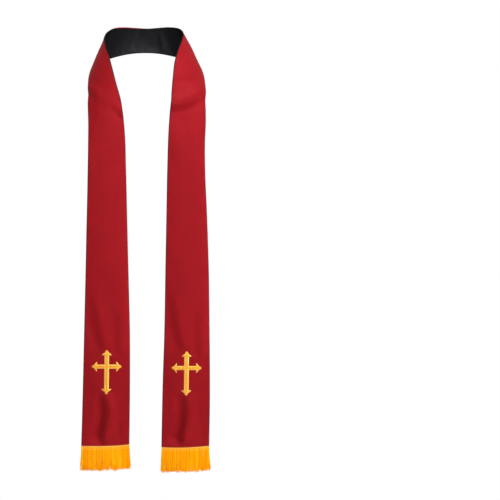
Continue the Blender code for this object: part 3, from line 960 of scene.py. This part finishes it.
def strand_layer(half, layer, chance):
    """Guide lines of one layer: strands hang in loose clumps that draw together towards their tips."""
    count = layer.strands
    margin = STRAND_MARGIN / HEM_WIDTH
    across = np.linspace(margin, 1 - margin, count) + chance.normal(0, STRAND_PLACE_UNEVEN, count)
    length = FRINGE_LENGTH - layer.shorter * MM - np.abs(chance.normal(0, STRAND_LENGTH_UNEVEN, count))
    start = layer.start * MM
    share = np.linspace(0, 1, YARN_POINTS)
    drop = start + (length[:, None] - start) * share[None, :]
    below = np.clip((drop - HEADING_DEPTH) / (FRINGE_LENGTH - HEADING_DEPTH), 0, 1)
    clump = np.cumsum(chance.random(count) < 1.0 / CLUMP_STRANDS)
    centre = np.array([across[clump == c].mean() for c in clump])
    drawn = chance.uniform(*CLUMP_DRAWN, clump.max() + 1)[clump]
    lean = chance.normal(0, CLUMP_LEAN, clump.max() + 1)[clump]
    fluff = chance.normal(0, CLUMP_FLUFF, clump.max() + 1)[clump]
    longer = chance.normal(0, CLUMP_LENGTH, clump.max() + 1)[clump]
    drop += (longer[:, None] - np.abs(longer).max() * 0.3) * below
    spread = across[:, None] + (centre - across)[:, None] * drawn[:, None] * below ** 2.6
    off_layer = fluff + chance.normal(0, STRAND_FRONT_UNEVEN, count)
    points = fringe_point(half, spread, drop, layer.front * MM + off_layer[:, None] * below)
    wave = chance.normal(0, STRAND_WAVE, (count, 2, 1))
    turn = 2 * np.pi * (below * chance.uniform(0.7, 1.8, (count, 1)) + chance.random((count, 1)))
    points[..., 0] += wave[:, 0] * np.sin(turn) * below + lean[:, None] * below ** 2
    points[..., 1] += wave[:, 1] * np.cos(turn) * below * 0.7
    corner = 0.8 * np.exp(-across / 0.04) + np.exp(-(1 - across) / 0.05)
    flick = chance.uniform(-0.2, 1.0, count) * corner * CORNER_FLICK
    outwards = np.where(across < 0.5, -half.side, half.side)
    points[..., 0] += (outwards * flick)[:, None] * below ** 2.2
    thickness = np.ones((count, YARN_POINTS)) * chance.uniform(*STRAND_THICKNESS, (count, 1))
    thickness[:, 0] *= 0.9
    thickness[:, -2:] *= np.array([0.85, 0.5])
    return points, thickness, chance.random(count)


def fringe_strands(name, half, tree, material):
    """All strands of one fringe, layer by layer."""
    chance = np.random.default_rng(23 + half.side)
    made = [strand_layer(half, layer, chance) for layer in FRINGE_LAYERS]
    guides, thickness, tone = (np.concatenate(parts) for parts in zip(*made))
    return threads(name, tree, guides, YARN_RADIUS, YARN_SIDES, material, thickness, tone)


def fringe_heading(name, half, material):
    """The woven tape that carries the strands. Its top is sewn in between the faces at the hem."""
    edge = HEADING_EDGE / HEM_WIDTH
    across = np.linspace(edge, 1 - edge, 60)[None, :]
    drop = np.linspace(-HEADING_RUNS_UP, HEADING_RUNS_DOWN, 12)[:, None]
    thick = np.full(drop.shape, HEADING_HALF)
    thick[[0, -1]] *= HEADING_ENDS_THIN
    front = fringe_point(half, across, drop, thick)
    back = fringe_point(half, across, drop, -thick)
    run = np.broadcast_to(across * HEM_WIDTH, front.shape[:2])
    down = np.broadcast_to(drop, front.shape[:2])
    return closed_sheet(name, front, back, material, run, down)


def chain_links(half, row, front, width):
    """Guide lines of one row of chain stitches: open loops, each starting inside the one before."""
    count = int((width - 2 * CHAIN_MARGIN) / (row.link * MM))
    turn = np.linspace(-CHAIN_OPEN * np.pi, CHAIN_OPEN * np.pi, CHAIN_POINTS)
    starts = (np.arange(count) + 0.5) * row.link * MM + CHAIN_MARGIN
    reach = CHAIN_REACH * row.link * MM
    run = starts[:, None] + reach * np.cos(turn)[None, :]
    drop = row.down * MM + row.height / 2 * MM * np.sin(turn)[None, :]
    drop = np.broadcast_to(drop, run.shape)
    over = front * (1.0 + CHAIN_RISE * np.cos(turn))[None, :]
    return fringe_point(half, run / width, drop, np.broadcast_to(over, run.shape))


def heading_chains(name, half, tree, material):
    """The rows of chain stitches on both sides of the heading."""
    width = cloth_width(half, 1.0)[0]
    guides, thickness, tone = [], [], []
    for row in CHAIN_ROWS:
        for facing in (-1, 1):
            links = chain_links(half, row, facing * CHAIN_FRONT, width)
            guides.append(links)
            thickness.append(np.full(links.shape[:2], row.radius * MM / YARN_RADIUS))
            tone.append(np.full(len(links), row.tone))
    return threads(name, tree, np.concatenate(guides), YARN_RADIUS, STITCH_SIDES, material,
                   np.concatenate(thickness), np.concatenate(tone))


# Sewing stitches

def stitch_line(half, facing, along_run, across_run, lift):
    """Short stitches between pairs of places: each dips into the cloth at its ends."""
    share = np.linspace(0, 1, 6)
    along = along_run[:, :1] + np.diff(along_run, axis=1) * share
    across = across_run[:, :1] + np.diff(across_run, axis=1) * share
    rise = lift + 0.16 * MM * np.sin(np.pi * share) - 0.10 * MM
    return on_cloth(half, along, across, facing * np.broadcast_to(rise, along.shape))


def sewn_row(name, half, facing, tree, material, row):
    """A row of stitches across the cloth, at the back seam or over the fringe's heading at the hem."""
    width = cloth_width(half, row.end)[0]
    starts = np.arange(row.first, width / MM - STITCH_MARGIN, row.pitch) * MM
    across = np.stack([starts, starts + row.stitch * MM], axis=-1) / width
    inset = row.inset * MM / cloth_length(half)
    along = np.full(across.shape, 1 - inset if row.end else inset)
    guides = stitch_line(half, facing, along, across, row.lift * MM)
    return threads(name, tree, guides, row.radius * MM, STITCH_SIDES, material)


# Finishes

def shader_group(name, inputs, outputs):
    """An empty node group for a finish, with its named inputs (label, kind, value) and outputs."""
    tree = bpy.data.node_groups.new(name, "ShaderNodeTree")
    for label, kind, value in inputs:
        made = socket(tree, label, kind)
        if value is not None:
            made.default_value = value
    for label, kind in outputs:
        socket(tree, label, kind, "OUTPUT")
    return tree, tree.nodes.new("NodeGroupInput"), tree.nodes.new("NodeGroupOutput")


def math_node(tree, operation, first, second=None, third=None):
    """A Math node on numbers or sockets, returned as its output socket."""
    node = tree.nodes.new("ShaderNodeMath")
    node.operation = operation
    for place, given in enumerate((first, second, third)):
        if given is None:
            continue
        if isinstance(given, (int, float)):
            node.inputs[place].default_value = given
        else:
            tree.links.new(given, node.inputs[place])
    return node.outputs[0]


def mix_colours(tree, share, first, second):
    """A Mix node from the first colour (share 0) to the second (share 1), as its output socket."""
    node = tree.nodes.new("ShaderNodeMix")
    node.data_type = "RGBA"
    for place, given in ((0, share), (6, first), (7, second)):
        if isinstance(given, (int, float, tuple)):
            node.inputs[place].default_value = given
        else:
            tree.links.new(given, node.inputs[place])
    return node.outputs[2]


def noise(tree, place, scale, detail):
    """A Noise node, returned as its output socket."""
    node = tree.nodes.new("ShaderNodeTexNoise")
    tree.links.new(place, node.inputs["Vector"])
    node.inputs["Scale"].default_value = scale
    node.inputs["Detail"].default_value = detail
    return node.outputs[0]


def satin_weave_group():
    """Five-shaft satin: long threads run down the cloth, tied in by short ones in stepped order. It is
    darker near the back seam, painted shade of the seam's groove."""
    tree, given, made = shader_group(
        "satin_weave",
        [("Place", "NodeSocketVector", None), ("Threads per Metre", "NodeSocketFloat", 4800.0),
         ("Colour", "NodeSocketColor", None), ("Deep Colour", "NodeSocketColor", None),
         ("Slub", "NodeSocketFloat", 0.5), ("Roughness", "NodeSocketFloat", 0.5),
         ("Painted Seam Shade", "NodeSocketFloat", 0.0), ("Seam Reach", "NodeSocketFloat", 1.8 * MM)],
        [("Colour", "NodeSocketColor"), ("Roughness", "NodeSocketFloat"), ("Height", "NodeSocketFloat")])
    link, calc = tree.links.new, partial(math_node, tree)
    parts = tree.nodes.new("ShaderNodeSeparateXYZ")
    link(given.outputs["Place"], parts.inputs[0])
    over = calc("MULTIPLY", parts.outputs["X"], given.outputs["Threads per Metre"])
    down = calc("MULTIPLY", parts.outputs["Y"], given.outputs["Threads per Metre"])
    column, row = calc("FLOOR", over), calc("FLOOR", down)
    stepped = calc("MULTIPLY_ADD", column, 2.0, row)
    tie = calc("LESS_THAN", calc("FLOORED_MODULO", stepped, 5.0), 0.5)

    def rounded(place):
        side = calc("MULTIPLY_ADD", calc("FRACT", place), 2.0, -1.0)
        squared = calc("POWER", calc("ABSOLUTE", side), 2.0)
        return calc("SUBTRACT", 1.0, squared)

    long_thread = rounded(over)
    short_thread = calc("MULTIPLY", rounded(down), 0.45)
    difference = calc("SUBTRACT", short_thread, long_thread)
    height = calc("MULTIPLY_ADD", difference, tie, long_thread)
    streak_place = tree.nodes.new("ShaderNodeMapping")
    link(given.outputs["Place"], streak_place.inputs["Vector"])
    streak_place.inputs["Scale"].default_value = (1.0, 0.03, 1.0)
    streaks = noise(tree, streak_place.outputs[0], 1400.0, 2.0)
    clouds = noise(tree, given.outputs["Place"], 16.0, 3.0)
    slubs = calc("MULTIPLY", calc("SUBTRACT", streaks, 0.5), given.outputs["Slub"])
    shade = calc("MULTIPLY_ADD", calc("SUBTRACT", clouds, 0.5), 0.55, slubs)
    shade = calc("MULTIPLY_ADD", tie, 0.22, calc("ADD", shade, 0.22))
    # Painted shade: the colour darkens towards the back seam, standing in for the shadow in the seam's
    # groove.
    away = calc("DIVIDE", parts.outputs["Y"], given.outputs["Seam Reach"])
    near_seam_painted_shade = calc("MAXIMUM", calc("SUBTRACT", 1.0, away), 0.0)
    shade = calc("MULTIPLY_ADD", near_seam_painted_shade, given.outputs["Painted Seam Shade"], shade)
    colour = mix_colours(tree, shade, given.outputs["Colour"], given.outputs["Deep Colour"])
    link(colour, made.inputs["Colour"])
    rough = calc("MULTIPLY_ADD", calc("SUBTRACT", clouds, 0.5), 0.16, given.outputs["Roughness"])
    link(calc("MULTIPLY_ADD", slubs, 0.3, rough), made.inputs["Roughness"])
    link(calc("MULTIPLY_ADD", slubs, 1.5, height), made.inputs["Height"])
    return tree


def yarn_group():
    """Twisted yarn: slanting plies along the thread, and a tone of its own for each thread."""
    tree, given, made = shader_group(
        "twisted_yarn",
        [("Light Colour", "NodeSocketColor", None), ("Colour", "NodeSocketColor", None),
         ("Deep Colour", "NodeSocketColor", None), ("Ply Pitch", "NodeSocketFloat", 1.2 * MM),
         ("Roughness", "NodeSocketFloat", 0.5)],
        [("Colour", "NodeSocketColor"), ("Roughness", "NodeSocketFloat"), ("Height", "NodeSocketFloat")])
    link, calc = tree.links.new, partial(math_node, tree)
    place = tree.nodes.new("ShaderNodeTexCoord").outputs["Object"]
    parts = tree.nodes.new("ShaderNodeSeparateXYZ")
    link(place, parts.inputs[0])
    tone = tree.nodes.new("ShaderNodeAttribute")
    tone.attribute_name = "tone"
    slant = calc("ADD", calc("MULTIPLY", parts.outputs["X"], 1.6), parts.outputs["Z"])
    turns = calc("DIVIDE", slant, given.outputs["Ply Pitch"])
    turns = calc("MULTIPLY_ADD", tone.outputs["Fac"], 7.0, turns)
    ply = calc("SINE", calc("MULTIPLY", turns, 2 * np.pi))
    fibres = noise(tree, place, 2600.0, 2.0)
    height = calc("MULTIPLY_ADD", fibres, 0.5, calc("MULTIPLY_ADD", ply, 0.35, 0.5))
    # The ply term paints light on the plies' crests and shade in their grooves; the tone term is each
    # thread's own.
    light = calc("MULTIPLY_ADD", ply, 0.12, calc("MULTIPLY", tone.outputs["Fac"], 0.9))
    first = mix_colours(tree, light, given.outputs["Deep Colour"], given.outputs["Colour"])
    pale = calc("MULTIPLY", calc("SUBTRACT", tone.outputs["Fac"], 0.72), 2.4)
    pale = calc("MAXIMUM", pale, 0.0)
    link(mix_colours(tree, pale, first, given.outputs["Light Colour"]), made.inputs["Colour"])
    link(calc("MULTIPLY_ADD", fibres, 0.15, given.outputs["Roughness"]), made.inputs["Roughness"])
    link(height, made.inputs["Height"])
    return tree


def new_material(name):
    """A material, its node tree and its shader."""
    material = bpy.data.materials.new(name)
    material.use_nodes = True
    return material, material.node_tree, material.node_tree.nodes["Principled BSDF"]


def add_group(tree, group, values):
    """One of the node groups inside a material, with the inputs that this material sets."""
    node = tree.nodes.new("ShaderNodeGroup")
    node.node_tree = group
    set_sockets(node, values)
    return node


def set_sockets(node, values):
    """Sets a node's own inputs by name."""
    for label, value in values.items():
        node.inputs[label].default_value = value


def finish_with(tree, shader, group, bump_depth):
    """Feeds the group's colour, roughness and height to the shader."""
    bump = tree.nodes.new("ShaderNodeBump")
    bump.inputs["Distance"].default_value = bump_depth
    tree.links.new(group.outputs["Colour"], shader.inputs["Base Color"])
    tree.links.new(group.outputs["Roughness"], shader.inputs["Roughness"])
    tree.links.new(group.outputs["Height"], bump.inputs["Height"])
    tree.links.new(bump.outputs["Normal"], shader.inputs["Normal"])


def satin(name, weave, colour, deep, sheen, tint, roughness, gloss, painted_seam_shade):
    """Satin cloth, laid out on the piece's own weave map."""
    material, tree, shader = new_material(name)
    node = add_group(tree, weave, {"Colour": colour, "Deep Colour": deep, "Roughness": roughness,
                                   "Painted Seam Shade": painted_seam_shade})
    place = tree.nodes.new("ShaderNodeUVMap")
    place.uv_map = "weave"
    tree.links.new(place.outputs["UV"], node.inputs["Place"])
    finish_with(tree, shader, node, 0.05 * MM)
    set_sockets(shader, {"Sheen Weight": sheen, "Sheen Roughness": 0.4, "Sheen Tint": tint,
                         "Specular Tint": tint, "Specular IOR Level": gloss})
    return material


def yarn(name, group, light, colour, deep, pitch, roughness, gloss):
    """Twisted thread for fringe, heading and sewing."""
    material, tree, shader = new_material(name)
    node = add_group(tree, group, {"Light Colour": light, "Colour": colour, "Deep Colour": deep,
                                   "Ply Pitch": pitch, "Roughness": roughness})
    finish_with(tree, shader, node, 0.12 * MM)
    set_sockets(shader, {"Specular IOR Level": gloss, "Sheen Tint": light})
    return material


def satin_thread(name, core, edge, centre):
    """Shiny embroidery thread: gold, with painted shade deep in the groove and a pale painted highlight
    where it turns down.
    """
    material, tree, shader = new_material(name)
    calc = partial(math_node, tree)
    run = tree.nodes.new("ShaderNodeAttribute")
    run.attribute_name = "run"
    tone = tree.nodes.new("ShaderNodeAttribute")
    tone.attribute_name = "tone"
    # The colour along each stitch paints shade deep in the groove and a pale highlight where the stitch
    # turns down.
    ramp = tree.nodes.new("ShaderNodeValToRGB")
    stops = ramp.color_ramp.elements
    stops[0].color, stops[1].color = centre, edge
    for place, colour in ((0.25, core), (0.5, core), (0.8, edge)):
        stops.new(place).color = colour
    tree.links.new(run.outputs["Fac"], ramp.inputs["Fac"])
    shade = calc("MULTIPLY", tone.outputs["Fac"], 0.3)
    tree.links.new(mix_colours(tree, shade, ramp.outputs["Color"], edge), shader.inputs["Base Color"])
    rough = calc("MULTIPLY_ADD", tone.outputs["Fac"], 0.15, 0.3)
    tree.links.new(rough, shader.inputs["Roughness"])
    set_sockets(shader, {"Specular IOR Level": 0.5, "Sheen Weight": 0.08, "Sheen Tint": edge})
    return material


def padding_material(name, colour):
    """The dull felt of the padding, which hardly shows between the stitches."""
    material, tree, shader = new_material(name)
    place = tree.nodes.new("ShaderNodeTexCoord").outputs["Object"]
    grain = noise(tree, place, 900.0, 3.0)
    deep = tuple(c * 0.6 for c in colour[:3]) + (1.0,)
    tree.links.new(mix_colours(tree, grain, deep, colour), shader.inputs["Base Color"])
    shader.inputs["Roughness"].default_value = 0.6
    return material


def floor_material():
    """Matt pale floor with a faint grain."""
    material, tree, shader = new_material("pale_floor")
    place = tree.nodes.new("ShaderNodeTexCoord").outputs["Object"]
    grain = noise(tree, place, 6.0, 3.0)
    tree.links.new(mix_colours(tree, grain, (0.58, 0.58, 0.58, 1), (0.62, 0.62, 0.62, 1)),
                   shader.inputs["Base Color"])
    shader.inputs["Roughness"].default_value = 0.9
    return material


# Studio

def place_camera():
    """The camera, square on to the front of the stole."""
    camera = bpy.data.cameras.new("camera")
    camera.sensor_width = SENSOR
    camera.lens = SENSOR * CAMERA_DISTANCE / CAMERA_SEES
    camera.clip_start, camera.clip_end = 0.1, 100.0
    holder = bpy.data.objects.new("camera", camera)
    holder.location = CAMERA_PLACE
    holder.rotation_euler = (np.pi / 2, 0, 0)
    bpy.context.scene.collection.objects.link(holder)
    bpy.context.scene.camera = holder


def hang_light(light):
    """One area light. A light that isn't mirrored leaves no reflection in the satin."""
    lamp = bpy.data.lights.new(light.name, "AREA")
    lamp.shape = "RECTANGLE"
    lamp.size, lamp.size_y = light.size
    lamp.energy = light.power
    lamp.spread = np.radians(light.spread)
    holder = bpy.data.objects.new(light.name, lamp)
    holder.location = light.place
    holder.rotation_euler = (Vector(light.aim) - Vector(light.place)).to_track_quat("-Z", "Y").to_euler()
    holder.visible_glossy = light.mirrored
    bpy.context.scene.collection.objects.link(holder)


def white_surroundings(strength):
    """White behind the stole, and a softer light from all round."""
    world = bpy.data.worlds.new("white_surroundings")
    bpy.context.scene.world = world
    world.use_nodes = True
    tree = world.node_tree
    tree.nodes.clear()
    out = tree.nodes.new("ShaderNodeOutputWorld")
    seen, lit = tree.nodes.new("ShaderNodeBackground"), tree.nodes.new("ShaderNodeBackground")
    seen.inputs["Color"].default_value = (1, 1, 1, 1)
    lit.inputs["Color"].default_value = (1, 1, 1, 1)
    lit.inputs["Strength"].default_value = strength
    ray = tree.nodes.new("ShaderNodeLightPath")
    mix = tree.nodes.new("ShaderNodeMixShader")
    tree.links.new(ray.outputs["Is Camera Ray"], mix.inputs[0])
    tree.links.new(lit.outputs[0], mix.inputs[1])
    tree.links.new(seen.outputs[0], mix.inputs[2])
    tree.links.new(mix.outputs[0], out.inputs["Surface"])


def studio_floor():
    """A round pale floor below the fringes."""
    turn = np.linspace(0, 2 * np.pi, 97)[:-1]
    ring = [(FLOOR_RADIUS * np.cos(t), FLOOR_RADIUS * np.sin(t), -FLOOR_DOWN) for t in turn]
    mesh = bpy.data.meshes.new("studio_floor")
    mesh.from_pydata(ring, [], [list(range(len(ring)))])
    plain_object("studio_floor", mesh, floor_material())


# Place, aim and size in metres, power in watts, spread in degrees.
Light = namedtuple("Light", "name place aim size power spread mirrored")
LIGHTS = (
    Light("key", (4.1, -2.8, 0.4), (0.0, -0.1, -0.1), (1.6, 1.8), 42.0, 80.0, False),
    Light("top", (0.3, -1.3, 1.6), (0.0, -0.1, -0.2), (1.6, 1.0), 42.0, 180.0, True),
    Light("fill", (0.3, -3.2, 0.5), (0.0, -0.1, 0.0), (1.6, 1.2), 17.3, 110.0, True),
    Light("side", (-3.9, 0.6, 0.5), (0.0, -0.1, -0.2), (1.4, 1.4), 46.0, 180.0, False),
    Light("back", (0.6, 4.6, 0.9), (0.0, 0.0, -0.5), (2.2, 2.2), 210.0, 180.0, False),
    Light("edge", (4.4, -1.6, -0.8), (0.1, -0.1, -0.8), (0.7, 0.7), 0.6, 16.0, True),
    Light("low", (0.0, -1.2, -1.45), (0.0, -0.1, -1.235), (0.5, 0.05), 0.032, 12.0, True),
)
SURROUNDINGS = 0.28


def light_studio():
    bpy.context.scene.view_settings.view_transform = "Standard"
    white_surroundings(SURROUNDINGS)
    for light in LIGHTS:
        hang_light(light)


# The stole

RED = (0.255, 0.0073, 0.0105, 1.0)
# The deep red is the weave's deep tone, and near the back seam also the colour of its painted shade.
RED_DEEP_AND_SEAM_SHADE = (0.161, 0.0040, 0.0064, 1.0)
BLACK = (0.0050, 0.0045, 0.0053, 1.0)
BLACK_DEEP = (0.0026, 0.0024, 0.0032, 1.0)
BLACK_THREAD = (0.11, 0.105, 0.11, 1.0)
FRINGE_GOLD = (1.0, 0.46, 0.0006, 1.0)
FRINGE_DEEP = (0.88, 0.25, 0.0004, 1.0)
FRINGE_PALE = (1.0, 0.62, 0.016, 1.0)
HEADING_PEACH = (0.95, 0.56, 0.13, 1.0)
THREAD_GOLD = (0.82, 0.33, 0.003, 1.0)
# The pale thread is a painted highlight where stitches turn down. The ochre is the padding's own colour,
# and also the painted shade in the stitches' groove.
THREAD_PAINTED_HIGHLIGHT = (1.0, 0.66, 0.14, 1.0)
OCHRE_PADDING_AND_GROOVE_SHADE = (0.76, 0.28, 0.003, 1.0)
RED_SHEEN = (1.0, 0.10, 0.14, 1.0)
BLACK_SHEEN = (0.8, 0.8, 0.9, 1.0)

# How far apart the plies of each yarn lie along it.
FRINGE_PLY = 1.3 * MM
HEADING_PLY = 1.0 * MM
SEWING_PLY = 0.5 * MM


def dress():
    """Sets up the studio and puts every dressed piece of the stole in its place."""
    place_camera()
    light_studio()
    studio_floor()
    tree = thread_tree()
    weave, plies = satin_weave_group(), yarn_group()
    # The red darkens near the back seam as painted shade of the seam's groove; the black does not.
    red = satin("red_satin", weave, RED, RED_DEEP_AND_SEAM_SHADE, sheen=0.08, tint=RED_SHEEN, roughness=0.46,
                gloss=0.30, painted_seam_shade=2.2)
    black = satin("black_satin", weave, BLACK, BLACK_DEEP, sheen=0.0, tint=BLACK_SHEEN, roughness=0.42,
                  gloss=0.21, painted_seam_shade=0.0)
    strands = yarn("fringe_yarn", plies, FRINGE_PALE, FRINGE_GOLD, FRINGE_DEEP, FRINGE_PLY, 0.6, 0.03)
    heading = yarn("heading_thread", plies, HEADING_PEACH, HEADING_PEACH, FRINGE_PALE, HEADING_PLY,
                   0.5, 0.3)
    embroidery = satin_thread("gold_embroidery_thread", THREAD_GOLD, THREAD_PAINTED_HIGHLIGHT, OCHRE_PADDING_AND_GROOVE_SHADE)
    padding = padding_material("cross_padding", OCHRE_PADDING_AND_GROOVE_SHADE)
    red_thread = yarn("red_sewing_thread", plies, RED, RED, RED_DEEP_AND_SEAM_SHADE, SEWING_PLY, 0.45, 0.4)
    black_thread = yarn("black_sewing_thread", plies, BLACK_THREAD, BLACK_THREAD, BLACK, SEWING_PLY,
                        0.35, 0.6)
    faces = (("red", 1, red, red_thread), ("black", -1, black, black_thread))

    for side, half in HALVES.items():
        tape = fringe_heading(f"fringe_heading_{side}", half, strands)
        hanging = fringe_strands(f"fringe_strands_{side}", half, tree, strands)
        chains = heading_chains(f"heading_chains_{side}", half, tree, heading)
        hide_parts(f"fringe_{side}")
        for piece in (tape, hanging, chains):
            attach(piece, BODY)
        for colour, facing, material, thread in faces:
            cloth = cloth_face(f"{colour}_cloth_{side}", half, facing, material)
            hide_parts(f"{colour}_half_{side}")
            name = f"{colour}_embroidery_{side}"
            pads = joined(name + "_padding", cross_padding(half, facing, padding, name + "_pad"))
            stitches = cross_threads(name, half, facing, tree, embroidery)
            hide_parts(f"{colour}_cross_{side}")
            sewing = [sewn_row(f"{colour}_hem_stitches_{side}", half, facing, tree, thread, HEM_ROW)]
            if facing == half.side:
                sewing.append(sewn_row(f"{colour}_seam_stitches", half, facing, tree, thread, SEAM_ROW))
            for piece in (cloth, pads, stitches, *sewing):
                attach(piece, BODY)
            declare_cloth(half)


dress()
